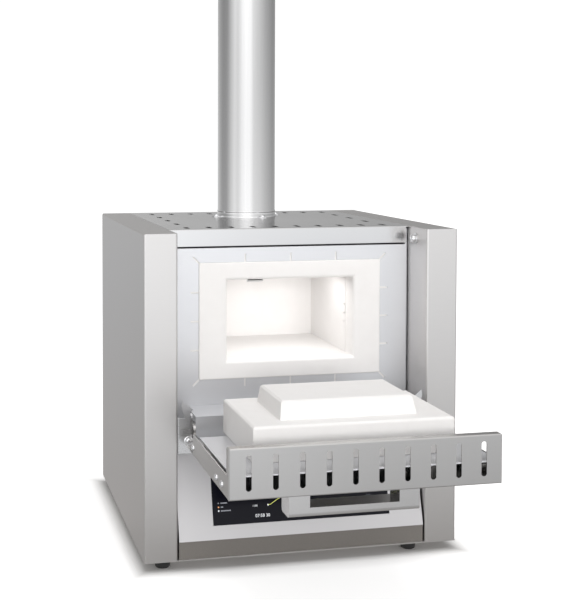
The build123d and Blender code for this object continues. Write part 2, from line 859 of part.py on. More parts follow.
def door_cap():
    """Slotted sheet along the door's free edge, with folded rims."""
    t = door_sheet
    back_y = door_face_y + cap_depth
    low = door_top_z - cap_flange
    cap = slab((-door_half, door_half), (door_face_y, back_y), (low, door_top_z))
    rims = [
        e
        for e in cap.edges()
        if e.center().Z > door_top_z - gap or (e.center().Y > back_y - gap and e.length < cap_flange + gap)
    ]
    cap = chamfer(rims, cap_edge)
    cap -= slab(
        (-door_half + t, door_half - t), (door_face_y - t, back_y - t), (low - t, door_top_z - t)
    )
    for side in (-1, 1):
        edge = sorted((side * (door_half - t - gap), side * (door_half + t)))
        cap -= slab(edge, (door_face_y - t, door_face_y + casing_depth + gap), (low - t, door_top_z - t))
    slot = extrude(Plane.XY.offset(door_top_z + t) * upright_slot(cap_slot_length, cap_slot_width), -3 * t)
    slot_y = door_face_y + cap_slot_start + cap_slot_length / 2
    first = -cap_slot_pitch * (cap_slots - 1) / 2
    return cap - [Pos(first + n * cap_slot_pitch, slot_y, 0) * slot for n in range(cap_slots)]


def door_pan():
    """Inner sheet that carries the door's fibre, folded outwards at its lower edge."""
    t = door_sheet
    edge = door_half - pan_side_gap
    pan = slab((-edge, edge), (pan_face_y - t, pan_face_y), (pan_bottom_z, door_top_z - t - gap))
    fold = lever_inner_x - rivet_foot
    return pan + slab((-fold, fold), (door_face_y + t, pan_face_y - t), (pan_bottom_z, pan_bottom_z + t))


def door_block():
    """Fibre slab that covers the collar."""
    block = slab((-block_half, block_half), (pan_face_y, block_face_y), (block_low_z, block_high_z))
    return chamfer(block.faces().sort_by(Axis.Y)[-1].edges(), block_edge)


def door_plug():
    """Bevelled fibre plug that enters the chamber's mouth."""
    faces = []
    for y, play, low, high in (
        (block_face_y, plug_base_play, plug_base_bottom, plug_base_top),
        (block_face_y + plug_depth, plug_tip_play, plug_tip_bottom, plug_tip_top),
    ):
        low_z, high_z = chamber_floor_z + low, chamber_roof_z - high
        plane = Plane(origin=(0, y, (low_z + high_z) / 2), x_dir=(1, 0, 0), z_dir=(0, 1, 0))
        faces.append(plane * Rectangle(2 * (chamber_half - play), high_z - low_z))
    body = loft(faces)
    return chamfer(body.faces().sort_by(Axis.Y)[-1].edges(), block_edge)


def handle_screw_places():
    x = (handle_length - handle_leg) / 2
    return (-x, x)


def door_handle():
    """Grip bar on two broad legs, bent from one flat section."""
    face, half = door_face_y, handle_length / 2
    z = (handle_z - handle_height / 2, handle_z + handle_height / 2)
    handle = slab((-half, half), (face - handle_standoff, face), z)
    grip = [
        e
        for e in handle.edges()
        if e.center().Y < face - handle_standoff + gap and e.length > handle_height + gap
    ]
    handle = fillet(grip, handle_rounding)
    inside = half - handle_leg
    return handle - slab((-inside, inside), (face - handle_standoff + handle_bar, face), z)


def handle_screws():
    """Screws from inside the door into the handle's legs."""
    seat = door_face_y + door_sheet
    return Compound(
        children=[
            stud(handle_screw_head, (x, seat, handle_z), (0, 1, 0), handle_screw_head_height)
            + stud(handle_screw_shank, (x, seat, handle_z), (0, -1, 0), door_sheet)
            for x in handle_screw_places()
        ]
    )


def lever_right():
    """Flat lever from the hinge pin up the door, with a knuckle and a tail for the stop."""
    t = lever_thickness
    x = (lever_inner_x, lever_x)
    front, back = lever_front_y, lever_front_y + lever_width
    neck_z = hinge_z + lever_neck
    bar = slab(x, (front, back), (neck_z, hinge_z + lever_reach))
    bar = chamfer([e for e in bar.edges().filter_by(Axis.X) if e.center().Z > neck_z + gap], lever_corner)
    bar += slab(x, (front, front + lever_neck_width), (hinge_z, neck_z))
    tail_y = (lever_tail_front, lever_tail_front + 2 * (hinge_y - lever_tail_front + lever_corner))
    bar += slab(x, tail_y, (hinge_z - lever_tail, hinge_z))
    bar += rod(lever_knuckle, (lever_inner_x, hinge_y, hinge_z), (1, 0, 0), t)
    bar -= rod(pin_radius + running_clearance, (lever_inner_x - t, hinge_y, hinge_z), (1, 0, 0), 3 * t)
    for z in rivet_heights:
        bar -= stud(screw_shank + hole_play, (lever_inner_x - t, rivet_y, z), (1, 0, 0), 3 * t)
    return bar


def lever_spacers():
    """Spacers that hold the levers off the door's side walls."""
    length = door_half - door_sheet - lever_x
    spacers = [
        stud(spacer_radius, (side * lever_x, rivet_y, z), (side, 0, 0), length)
        - stud(screw_shank + hole_play, (side * lever_x, rivet_y, z), (side, 0, 0), length)
        for side in (-1, 1)
        for z in rivet_heights
    ]
    return Compound(children=spacers)


def door_rivets():
    """Rivets through side wall, spacer and lever."""
    rivets = []
    for side in (-1, 1):
        for z in rivet_heights:
            seat = (side * door_half, rivet_y, z)
            head = stud(rivet_head, seat, (side, 0, 0), rivet_head_height, tip=dome_tip * rivet_head)
            shank = stud(screw_shank, seat, (-side, 0, 0), door_half - lever_inner_x)
            foot = stud(rivet_foot, (side * lever_inner_x, rivet_y, z), (-side, 0, 0), rivet_foot_height)
            rivets.append(head + shank + foot)
    return Compound(children=rivets)


# ---- door catch ------------------------------------------------------------------------------


def catch_bush():
    """Flanged bush in the right-hand post's return, which guides the catch."""
    start = (inner_x - catch_rim, catch_y, catch_z)
    bush = stud(catch_bush_radius, start, (1, 0, 0), catch_rim)
    bush += stud(catch_bush_radius - catch_bush_wall, start, (1, 0, 0), catch_bush_length)
    return bush - rod(catch_radius + running_clearance, start, (1, 0, 0), catch_bush_length)


def catch_plunger():
    """Plunger that holds the closed door."""
    nose = inner_x - catch_reach
    length = catch_reach + catch_bush_length - catch_travel - catch_rim - sheet
    return rod(catch_radius, (nose, catch_y, catch_z), (1, 0, 0), length)


# ---- control panel ---------------------------------------------------------------------------


def console_plane(lift=0.0):
    """Plane of the sloping console, origin at its lower edge, y up the slope."""
    turn = math.radians(console_slope)
    normal = (0, -math.cos(turn), math.sin(turn))
    return Plane(
        origin=(0, console_foot_y + normal[1] * lift, console_foot_z + normal[2] * lift),
        x_dir=(1, 0, 0),
        z_dir=normal,
    )


def control_panel():
    """Sloping console sheet with its top flange and the display's cut-out."""
    sloped = Pos(0, console_length / 2) * Rectangle(2 * console_half, console_length)
    panel = extrude(console_plane(-sheet) * sloped, sheet)
    panel += slab(
        (-console_half, console_half), (console_top_y, niche_depth), (console_top_z - sheet, console_top_z)
    )
    cut = Pos(0, display_from_foot + display_height / 2) * Rectangle(
        2 * (display_half + gap), display_height + 2 * gap
    )
    return panel - extrude(console_plane(-3 * sheet) * cut, 6 * sheet)


def display_layer(lift, margin, depth):
    """Layer of the display, centred in the console's cut-out."""
    outline = Rectangle(2 * (display_half - margin), display_height - 2 * margin)
    outline = chamfer(outline.vertices(), display_corner)
    return extrude(console_plane(lift) * Pos(0, display_from_foot + display_height / 2) * outline, depth)


def display_pane():
    """Glass of the touch display, a little proud of the console."""
    return display_layer(display_proud - display_glass, 0, display_glass)


def display_module():
    """Display and controller case behind the glass."""
    return display_layer(display_proud - display_glass - module_depth, display_rim, module_depth)


def plinth():
    """Dark strip under the console."""
    heights = (floor_z, floor_z + plinth_height)
    return slab((-console_half, console_half), (plinth_y, plinth_y + sheet), heights)


# ---- inside, on the base plate ---------------------------------------------------------------


def power_relay():
    """Solid-state relay on its finned heat sink."""
    x, y = relay_place
    wide, deep, thick = relay_sink
    fin, rise = relay_fin
    body = slab((x, x + wide), (y, y + deep), (floor_z, floor_z + thick))
    step = (wide - fin) / (relay_fins - 1)
    fins = slab((x, x + fin), (y, y + deep), (floor_z + thick, floor_z + thick + rise))
    body += [Pos(step * n, 0, 0) * fins for n in range(relay_fins)]
    case_x, case_y = x + (wide - relay_case[0]) / 2, y + (deep - relay_case[1]) / 2
    top = floor_z + thick + rise
    wide, deep, high = relay_case
    return body + slab((case_x, case_x + wide), (case_y, case_y + deep), (top, top + high))


def terminal_block():
    """Row of mains terminals."""
    x, y = terminal_place
    wide, deep, tall = terminal_size
    block = slab((x, x + wide), (y, y + deep), (floor_z, floor_z + tall))
    size, depth = terminal_way
    step = wide / terminal_ways
    top = floor_z + tall
    for n in range(terminal_ways):
        left = x + step * (n + 0.5) - size / 2
        block -= slab((left, left + size), (y + terminal_cheek, y + deep - terminal_cheek), (top - depth, top))
    return block


# ---- rear fittings ---------------------------------------------------------------------------


def rear_screws():
    """Screws that hold the rear panel to the side panels' flanges."""
    return Compound(
        children=[
            screw((side * x, rear_y, z), (0, 1, 0)) for side in (-1, 1) for x, z in rear_screw_places()
        ]
    )


def centred(x, y, z, size):
    """Rectangular piece round a place in x and z, with its size in those directions."""
    return slab((x - size[0] / 2, x + size[0] / 2), y, (z - size[1] / 2, z + size[1] / 2))


def mains_inlet():
    """Mains inlet with its flange, recess and three flat pins."""
    face_y = rear_y + inlet_flange[2]
    body = centred(inlet_x, (rear_y, face_y), fittings_z, inlet_flange)
    body += centred(inlet_x, (rear_y - inlet_body[2], rear_y), fittings_z, inlet_body)
    recess = centred(inlet_x, (face_y - inlet_recess[2], face_y), fittings_z, inlet_recess)
    lower = [e for e in recess.edges().filter_by(Axis.Y) if e.center().Z < fittings_z]
    body -= chamfer(lower, inlet_recess_corner)
    floor_y = face_y - inlet_recess[2]
    for n, rise in ((-1, 0), (0, inlet_earth_rise), (1, 0)):
        pin_x = inlet_x + n * inlet_pin_pitch
        body += centred(pin_x, (floor_y, floor_y + inlet_pin[2]), fittings_z + rise, inlet_pin)
    return body


def switch_box_half():
    """Half the width and height of the switch's box."""
    return switch_half_width + switch_play + switch_wall, rocker_radius + switch_play + switch_wall


def switch_frame():
    """Snap-in frame and box of the mains switch, with the rocker's bearings."""
    box_x, box_z = switch_box_half()
    rim = (2 * (switch_half_width + switch_rim), 2 * (rocker_radius + switch_rim))
    frame = centred(switch_x, (rear_y, rear_y + switch_frame_proud), fittings_z, rim)
    frame += centred(switch_x, (rear_y - switch_depth, rear_y), fittings_z, (2 * box_x, 2 * box_z))
    pocket = (2 * (switch_half_width + switch_play), 2 * (rocker_radius + switch_play))
    frame -= centred(
        switch_x, (rear_y - switch_depth + switch_wall, rear_y + switch_frame_proud), fittings_z, pocket
    )
    reach = switch_half_width + rocker_axle_reach + gap
    start = (switch_x - reach, rocker_axis_y, fittings_z)
    bearing = (rocker_axle_radius + running_clearance) / math.cos(math.pi / 8)
    return frame - stud(bearing, start, (1, 0, 0), 2 * reach)


def mains_rocker():
    """Rocker with two faces that meet in a valley, turned to the off side."""
    upper = [
        (rocker_radius * math.cos(math.radians(turn)), rocker_radius * math.sin(math.radians(turn)))
        for turn in rocker_corners
    ]
    lower = [(y, -z) for y, z in reversed(upper)]
    outline = [(0, y, z) for y, z in [(rocker_valley, 0)] + upper + lower]
    face = make_face(Polyline(*outline, close=True))
    rocker = extrude(face, switch_half_width, dir=(1, 0, 0), both=True)
    reach = switch_half_width + rocker_axle_reach
    rocker += rod(rocker_axle_radius, (-reach, 0, 0), (1, 0, 0), 2 * reach)
    return Pos(switch_x, rocker_axis_y, fittings_z) * Rot(-rocker_tilt, 0, 0) * rocker


# ---- the assembly ----------------------------------------------------------------------------

fixed_pieces = {
    "side_panel_left": side_panel_left(),
    "side_panel_right": side_panel_right(),
    "top_cover": top_cover(),
    "front_sheet": front_sheet(),
    "rear_panel": rear_panel(),
    "base_plate": base_plate(),
    "feet": feet(),
    "flue_tube": flue_tube(),
    "flue_screws": flue_screws_group(),
    "exhaust_duct": exhaust_duct(),
    "fibre_collar": fibre_collar(),
    "heating_plate_left": mirrored(heating_plate_right()),
    "heating_plate_right": heating_plate_right(),
    "heating_elements": both_sides(heating_element_right()),
    "floor_plate": floor_plate(),
    "roof_plate": roof_plate(),
    "insulation_bottom": insulation_bottom(),
    "insulation_left": mirrored(insulation_right()),
    "insulation_right": insulation_right(),
    "insulation_front": insulation_front(),
    "insulation_rear": insulation_rear(),
    "inner_case": inner_case(),
    "case_supports": case_supports(),
    "thermocouple": thermocouple(),
    "hinge_shelf": hinge_shelf(),
    "hinge_bracket_left": mirrored(hinge_bracket_right()),
    "hinge_bracket_right": hinge_bracket_right(),
    "hinge_pins": both_sides(hinge_pin_right()),
    "stop_pegs": both_sides(stop_peg_right()),
    "bracket_screws": both_sides(bracket_screw_right()),
    "catch_bush": catch_bush(),
    "catch_plunger": catch_plunger(),
    "control_panel": control_panel(),
    "display_pane": display_pane(),
    "display_module": display_module(),
    "plinth": plinth(),
    "power_relay": power_relay(),
    "terminal_block": terminal_block(),
    "rear_screws": rear_screws(),
    "mains_inlet": mains_inlet(),
    "switch_frame": switch_frame(),
    "mains_rocker": mains_rocker(),
}

door_pieces = {
    "door_panel": door_panel(),
    "door_cap": door_cap(),
    "door_pan": door_pan(),
    "door_block": door_block(),
    "door_plug": door_plug(),
    "door_handle": door_handle(),
    "handle_screws": handle_screws(),
    "door_lever_left": mirrored(lever_right()),
    "door_lever_right": lever_right(),
    "lever_spacers": lever_spacers(),
    "door_rivets": door_rivets(),
}

front_reach = door_top_z - hinge_z - hinge_y      # how far the open door comes forward
rear_reach = rear_y + inlet_flange[2]
to_part_frame = Pos(0, (front_reach - rear_reach) / 2, 0)

os.makedirs("parts", exist_ok=True)
pieces = dict(fixed_pieces)
pieces.update({name: open_door(piece) for name, piece in door_pieces.items()})
for name, piece in pieces.items():
    export_step(to_part_frame * piece, f"parts/{name}.step")
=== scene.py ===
import math

import bmesh
import bpy
from mathutils import Matrix, Vector


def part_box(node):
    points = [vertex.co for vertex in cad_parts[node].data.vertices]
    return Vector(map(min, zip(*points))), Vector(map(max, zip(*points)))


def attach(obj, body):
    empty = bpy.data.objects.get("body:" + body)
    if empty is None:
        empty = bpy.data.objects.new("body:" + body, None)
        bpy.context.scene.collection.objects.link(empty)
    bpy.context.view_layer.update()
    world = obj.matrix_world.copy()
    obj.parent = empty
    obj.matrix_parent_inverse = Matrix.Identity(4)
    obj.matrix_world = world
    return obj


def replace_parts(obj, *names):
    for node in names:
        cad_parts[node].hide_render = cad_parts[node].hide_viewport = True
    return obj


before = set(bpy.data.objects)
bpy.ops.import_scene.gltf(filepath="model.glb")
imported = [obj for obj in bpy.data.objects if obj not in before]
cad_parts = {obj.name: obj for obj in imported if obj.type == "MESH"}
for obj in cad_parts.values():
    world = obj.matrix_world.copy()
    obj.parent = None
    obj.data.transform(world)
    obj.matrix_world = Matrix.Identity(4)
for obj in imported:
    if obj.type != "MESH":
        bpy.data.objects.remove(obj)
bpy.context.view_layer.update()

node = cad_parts


# ---- Studio ----------------------------------------------------------------------------
# A pale floor that runs out to white, soft boxes overhead, in front and in the chamber,
# and the camera on a stand to the front left. None of it belongs to the furnace.


class Channel:
    """One value in a shader. Arithmetic on it adds the nodes that work it out."""

    def __init__(self, recipe, socket):
        self.recipe = recipe
        self.socket = socket

    def maths(self, operation, left, right):
        return self.recipe.add("ShaderNodeMath", {"operation": operation}, {0: left, 1: right})

    def __add__(self, other):
        return self.maths("ADD", self, other)

    def __radd__(self, other):
        return self.maths("ADD", other, self)

    def __sub__(self, other):
        return self.maths("SUBTRACT", self, other)

    def __rsub__(self, other):
        return self.maths("SUBTRACT", other, self)

    def __mul__(self, other):
        return self.maths("MULTIPLY", self, other)

    def __rmul__(self, other):
        return self.maths("MULTIPLY", other, self)

    def absolute(self):
        return self.maths("ABSOLUTE", self, 0.0)

    def above(self, limit):
        return self.maths("GREATER_THAN", self, limit)

    def below(self, limit):
        return self.maths("LESS_THAN", self, limit)


class Recipe:
    """A node tree being filled: each node comes with its settings and its inputs."""

    def __init__(self, owner):
        owner.use_nodes = True
        self.owner = owner
        self.tree = owner.node_tree
        self.tree.nodes.clear()

    def add(self, kind, settings=None, sockets=None, out=0):
        made = self.tree.nodes.new(kind)
        for name, value in (settings or {}).items():
            if name == "stops":
                self.set_stops(made.color_ramp, value)
            else:
                setattr(made, name, value)
        for name, value in (sockets or {}).items():
            if isinstance(value, Channel):
                self.tree.links.new(value.socket, made.inputs[name])
            else:
                made.inputs[name].default_value = value
        return Channel(self, made.outputs[out]) if len(made.outputs) else made

    def set_stops(self, ramp, stops):
        while len(ramp.elements) < len(stops):
            ramp.elements.new(1.0)
        for element, (place, colour) in zip(ramp.elements, stops):
            element.position = place
            element.color = (*colour, 1.0)

    def ramp(self, share, stops):
        return self.add("ShaderNodeValToRGB", {"stops": stops}, {"Fac": share})

    def spot(self):
        """Position on the piece in metres, as its three parts."""
        where = self.add("ShaderNodeTexCoord", out="Object")
        return [self.add("ShaderNodeSeparateXYZ", None, {"Vector": where}, out=n) for n in range(3)]

    def places(self, scale):
        """Positions on the piece in metres, stretched per axis."""
        where = self.add("ShaderNodeTexCoord", out="Object")
        return self.add("ShaderNodeMapping", None, {"Vector": where, "Scale": scale})

    def noise(self, scale, size, detail=3.0, rough=0.5):
        sockets = {"Vector": self.places(scale), "Scale": size, "Detail": detail, "Roughness": rough}
        return self.add("ShaderNodeTexNoise", None, sockets, out="Fac")

    def blend(self, share, dark, light):
        sides = {6: dark, 7: light}
        sockets = {n: side if isinstance(side, Channel) else (*side, 1.0) for n, side in sides.items()}
        return self.add("ShaderNodeMix", {"data_type": "RGBA"}, {0: share, **sockets}, out=2)

    def relief(self, height, depth, strength=1.0):
        sockets = {"Height": height, "Distance": depth, "Strength": strength}
        return self.add("ShaderNodeBump", None, sockets)

    def surface(self, **inputs):
        names = {name.replace("_", " "): value for name, value in inputs.items()}
        shader = self.add("ShaderNodeBsdfPrincipled", None, names)
        self.add("ShaderNodeOutputMaterial", None, {"Surface": shader})
        return self.owner


def finish(name):
    return Recipe(bpy.data.materials.new(name))


floor_half = 6.0
floor_mesh = bpy.data.meshes.new("studio_floor")
floor_corners = [(-floor_half, -floor_half, 0), (floor_half, -floor_half, 0)]
floor_corners += [(floor_half, floor_half, 0), (-floor_half, floor_half, 0)]
floor_mesh.from_pydata(floor_corners, [], [(0, 1, 2, 3)])
floor = bpy.data.objects.new("studio_floor", floor_mesh)
bpy.context.collection.objects.link(floor)

glow_scale = 2.2               # a ramp holds up to 1, so its levels are shares of this
glow_tint = (0.435, 0.45, 0.468)


def studio_glow(recipe, place):
    """What polished steel mirrors in a direction: a wide bright front and a greyer back."""
    x, y, _ = place
    turn = x.maths("ARCTAN2", x, y * -1.0)
    stops = [(0.0, 0.76), (0.147, 0.50), (0.217, 0.58), (0.27, 1.1), (0.32, 1.6), (0.364, 1.35)]
    stops += [(0.408, 1.9), (0.453, 2.15), (0.514, 2.05), (0.539, 1.5), (0.583, 1.36), (0.633, 1.2)]
    stops += [(0.683, 0.95), (0.747, 0.7), (0.83, 0.45), (0.93, 0.45), (1.0, 0.74)]
    shades = [(share, [level * part for part in glow_tint]) for share, level in stops]
    return recipe.ramp(turn * (0.5 / math.pi) + 0.5, shades)


floor_paint = finish("pale_floor")
seen = floor_paint.add("ShaderNodeLightPath", out="Is Camera Ray")
mirrored = floor_paint.add("ShaderNodeLightPath", out="Is Glossy Ray")
through = floor_paint.add("ShaderNodeLightPath", out="Is Transmission Ray")
away = floor_paint.add(
    "ShaderNodeVectorMath", {"operation": "LENGTH"}, {0: floor_paint.places((1, 1, 1))}, out="Value"
)
fade_rate = -0.476             # per metre
# Weight of the painted shade round the furnace: 1 at its middle, fading with distance.
painted_shade_weight = away.maths("EXPONENT", away * fade_rate, 0.0)
floor_spot = floor_paint.spot()

case_half_width, case_half_depth, case_middle_y = 0.1925, 0.180, 0.105
painted_shadow_reach = 0.04            # painted shadow: the floor's lift is cut within this distance of the case
# Painted contact shadow: a mask that is 0 at the case's footprint and 1 beyond the reach, taken off the
# floor's lift.
beside_x = floor_spot[0].absolute() - case_half_width
beside_y = (floor_spot[1] - case_middle_y).absolute() - case_half_depth
beside = beside_x.maths("MAXIMUM", beside_x, beside_y) * (1 / painted_shadow_reach)
clear = floor_paint.ramp(beside, [(0.0, (0, 0, 0)), (0.4, (0.7, 0.7, 0.7)), (1.0, (1, 1, 1))])
# Painted shade in reflections: near the furnace the floor mirrors dark grey, darker in front than behind,
# and the studio glow further out.
front_painted_shade, back_painted_shade = (0.112, 0.106, 0.100), (0.22, 0.213, 0.208)
floor_painted_shade = floor_paint.ramp(floor_spot[1] * 0.5 + 0.5, [(0.45, front_painted_shade), (0.56, back_painted_shade)])
floor_mirror = floor_paint.blend(painted_shade_weight, studio_glow(floor_paint, floor_spot), floor_painted_shade)
floor_diffuse = floor_paint.add("ShaderNodeBsdfDiffuse", None, {"Color": (0.74, 0.73, 0.72, 1)})
# The lift is lowered by up to 30 % near the furnace, a painted pool of shade, and cut at the case by the
# painted contact shadow.
floor_level = (seen + through) * (1.0 - painted_shade_weight * 0.30) * clear
floor_lift = floor_paint.add("ShaderNodeEmission", None, {"Color": (1, 1, 1, 1), "Strength": floor_level})
floor_seen = floor_paint.add("ShaderNodeAddShader", None, {0: floor_diffuse, 1: floor_lift})
floor_bright = floor_paint.add("ShaderNodeEmission", None, {"Color": floor_mirror, "Strength": glow_scale})
floor_either = floor_paint.add("ShaderNodeMixShader", None, {0: mirrored, 1: floor_seen, 2: floor_bright})
floor_paint.add("ShaderNodeOutputMaterial", None, {"Surface": floor_either})
floor_mesh.materials.append(floor_paint.owner)

air = Recipe(bpy.data.worlds.new("studio_air"))
bpy.context.scene.world = air.owner
air_camera = air.add("ShaderNodeLightPath", out="Is Camera Ray")
air_glossy = air.add("ShaderNodeLightPath", out="Is Glossy Ray")
air_through = air.add("ShaderNodeLightPath", out="Is Transmission Ray")
air_aim = air.add("ShaderNodeTexCoord", out="Generated")
air_parts = [air.add("ShaderNodeSeparateXYZ", None, {"Vector": air_aim}, out=n) for n in range(3)]
lift_stops = [(0.0, 1.0), (0.08, 1.0), (0.22, 0.75), (0.45, 0.55), (0.8, 0.9), (1.0, 1.1)]
air_lift = air.ramp(air_parts[2], [(height, (level,) * 3) for height, level in lift_stops])
air_level = studio_glow(air, air_parts) * air_lift * glow_scale
room_light = 0.45
backdrop_lift = 0.60
air_light = room_light + (air_camera + air_through) * backdrop_lift
air_light = air_light + air_glossy * (air_level - room_light)
air_shader = air.add("ShaderNodeBackground", None, {"Color": (1, 1, 1, 1), "Strength": air_light})
air.add("ShaderNodeOutputWorld", None, {"Surface": air_shader})


def soft_box(name, place, aim, width, height, watts):
    lamp = bpy.data.lights.new(name, "AREA")
    lamp.shape = "RECTANGLE"
    lamp.size = width
    lamp.size_y = height
    lamp.energy = watts
    box = bpy.data.objects.new(name, lamp)
    box.location = place
    box.rotation_euler = (Vector(aim) - Vector(place)).to_track_quat("-Z", "Y").to_euler()
    box.visible_glossy = False
    box.visible_camera = False
    bpy.context.collection.objects.link(box)


soft_box("overhead_box", (0.0, -0.7, 2.4), (0, 0, 0.25), 2.2, 1.6, 25)
soft_box("front_box", (-0.2, -3.2, 0.62), (0, 0, 0.28), 2.0, 1.0, 47)
soft_box("chamber_fill", (0.0, 0.03, 0.3255), (0, 0.035, 0.23), 0.13, 0.07, 0.075)

camera_place = (-0.41254, -1.37505, 0.50527)
camera_turn = 11.8954
camera_tilt = -2.2251
camera_lens = 69.432
camera_shift = (0.1567, -0.20)
camera = bpy.data.objects.new("camera", bpy.data.cameras.new("camera"))
camera.data.lens = camera_lens
camera.data.shift_x, camera.data.shift_y = camera_shift
camera.data.clip_start = 0.01
camera.location = camera_place
camera.rotation_euler = (math.radians(90 + camera_tilt), 0, math.radians(-camera_turn))
bpy.context.collection.objects.link(camera)
bpy.context.scene.camera = camera
bpy.context.scene.view_settings.view_transform = "Standard"


# ---- Case ------------------------------------------------------------------------------
# Side walls, rear panel and base are folded from satin stainless sheet. The grain runs
# along the fold, and the sheet carries faint clouds from handling.


def dress(material, *names):
    """Gives pieces taken over from the frame their finish."""
    for name in names:
        for holder in node[name].material_slots:
            holder.material = material


def ground_sheet(name, colour, grain, gloss=0.36, clouds=0.04, metal=1.0):
    """Ground stainless: grain is the stretch of its fine lines along x, y and z."""
    sheet = finish(name)
    lines = sheet.noise(grain, 1.0, 2.0, 0.6)
    haze = sheet.noise((1, 1, 1), 5.0, 3.0)
    dark = [part * (1 - clouds) for part in colour]
    light = [min(1.0, part * (1 + clouds)) for part in colour]
    tone = sheet.blend(lines * 0.4 + haze * 0.6, dark, light)
    rough = gloss - 0.06 + haze * 0.08 + lines * 0.04
    return sheet.surface(
        Base_Color=tone, Metallic=metal, Roughness=rough, Normal=sheet.relief(lines, 0.00002, 0.2)
    )


side_sheet = ground_sheet("satin_side_sheet", (0.70, 0.685, 0.675), (60, 60, 900), 0.42)
dress(side_sheet, "side_panel_left", "side_panel_right", "rear_panel", "base_plate")


# ---- Flue and top cover ----------------------------------------------------------------
# The top sheet is polished enough to mirror the flue. The flue is a drawn tube with a
# flared foot, a raised bead over it, and one weld down its back.


def shaded(piece, angle=35.0):
    """Smooth shading except across edges sharper than an angle."""
    made = bmesh.new()
    made.from_mesh(piece.data)
    for face in made.faces:
        face.smooth = True
    for edge in made.edges:
        if len(edge.link_faces) == 2:
            edge.smooth = edge.calc_face_angle(0.0) < math.radians(angle)
    made.to_mesh(piece.data)
    made.free()
    return piece


def placed(name, made, material, body="furnace"):
    """Turns a finished bmesh into a piece that rides on a body."""
    mesh = bpy.data.meshes.new(name)
    made.to_mesh(mesh)
    made.free()
    mesh.materials.append(material)
    piece = bpy.data.objects.new(name, mesh)
    bpy.context.collection.objects.link(piece)
    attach(piece, body)
    return piece


def turned(name, outline, places, material, body="furnace", sides=56):
    """Turned pieces: an outline of radius and height in metres, at each place along its axis."""
    made = bmesh.new()
    turns = [2 * math.pi * n / sides for n in range(sides)]
    for place, axis in places:
        stand = Vector((0, 0, 1)).rotation_difference(Vector(axis)).to_matrix().to_4x4()
        stand = Matrix.Translation(Vector(place)) @ stand
        rings = []
        for radius, height in outline:
            ring = [(radius * math.cos(t), radius * math.sin(t), height) for t in turns]
            corners = ring if radius else [(0.0, 0.0, height)]
            rings.append([made.verts.new(stand @ Vector(corner)) for corner in corners])
        for low, high in zip(rings, rings[1:]):
            for n in range(sides):
                m = (n + 1) % sides
                corners = [low[n % len(low)], low[m % len(low)], high[m % len(high)], high[n % len(high)]]
                made.faces.new([c for k, c in enumerate(corners) if c not in corners[:k]])
    bmesh.ops.recalc_face_normals(made, faces=made.faces)
    return shaded(placed(name, made, material, body))


def prism(made, low, high):
    """Walls between two rings of corners, and a face on each ring."""
    made.faces.new(list(reversed(low)))
    made.faces.new(high)
    for n in range(len(low)):
        m = (n + 1) % len(low)
        made.faces.new([low[n], low[m], high[m], high[n]])


top_sheet = ground_sheet("polished_top_sheet", (0.59, 0.585, 0.585), (900, 40, 900), 0.19, 0.02)
dress(top_sheet, "top_cover")

flue_low, flue_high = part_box("flue_tube")
flue_y = (flue_low[1] + flue_high[1]) / 2
flue_rise = flue_high[2] - flue_low[2]
flue_outline = [
    (0.0390, 0.0), (0.0416, 0.0), (0.0416, 0.0012), (0.0409, 0.0026), (0.0402, 0.0055),
    (0.0402, 0.0062), (0.0406, 0.0068), (0.0406, 0.0078), (0.0400, 0.0090),
    (0.0400, flue_rise - 0.0004), (0.0398, flue_rise), (0.0392, flue_rise),
    (0.0390, flue_rise - 0.0004), (0.0390, 0.0),
]
tube_steel = finish("drawn_tube_steel")
draw_lines = tube_steel.noise((700, 700, 6), 1.0, 2.0, 0.6)
tube_x, tube_y, _ = tube_steel.spot()
weld_half_width = 0.0022
weld_start = 0.03              # behind the tube's axis, so only the back has it
weld = tube_x.absolute().below(weld_half_width) * tube_y.above(flue_y + weld_start)
tube_tone = tube_steel.blend(draw_lines, (0.74, 0.74, 0.74), (0.80, 0.80, 0.81))
tube_tone = tube_steel.blend(weld * 0.6, tube_tone, (0.42, 0.38, 0.34))
tube_finish = tube_steel.surface(
    Base_Color=tube_tone,
    Metallic=1.0,
    Roughness=0.17 + draw_lines * 0.06 + weld * 0.15,
    Normal=tube_steel.relief(weld * 0.6 + draw_lines * 0.02, 0.0004, 0.8),
)
flue_foot = (0, flue_y, flue_low[2])
flue = turned("flue_tube_drawn", flue_outline, [(flue_foot, (0, 0, 1))], tube_finish, sides=128)

tab_sheet = ground_sheet("tab_steel", (0.74, 0.74, 0.75), (300, 300, 300), 0.2)
screw_round = 0.047
screw_turns = (-76.0, 14.0, 104.0, 194.0)
tab_start, tab_end, tab_half, tab_corner, tab_thickness = 0.0405, 0.0520, 0.006, 0.003, 0.001
tab_outline = [
    (tab_start, -tab_half), (tab_end - tab_corner, -tab_half), (tab_end, -tab_half + tab_corner),
    (tab_end, tab_half - tab_corner), (tab_end - tab_corner, tab_half), (tab_start, tab_half),
]
tabs = bmesh.new()
for turn in screw_turns:
    across = Matrix.Translation(Vector(flue_foot)) @ Matrix.Rotation(math.radians(turn), 4, "Z")
    low, high = (
        [tabs.verts.new(across @ Vector((x, y, z))) for x, y in tab_outline] for z in (0.0, tab_thickness)
    )
    prism(tabs, low, high)
placed("flue_tabs", tabs, tab_sheet)
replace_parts(flue, "flue_tube")

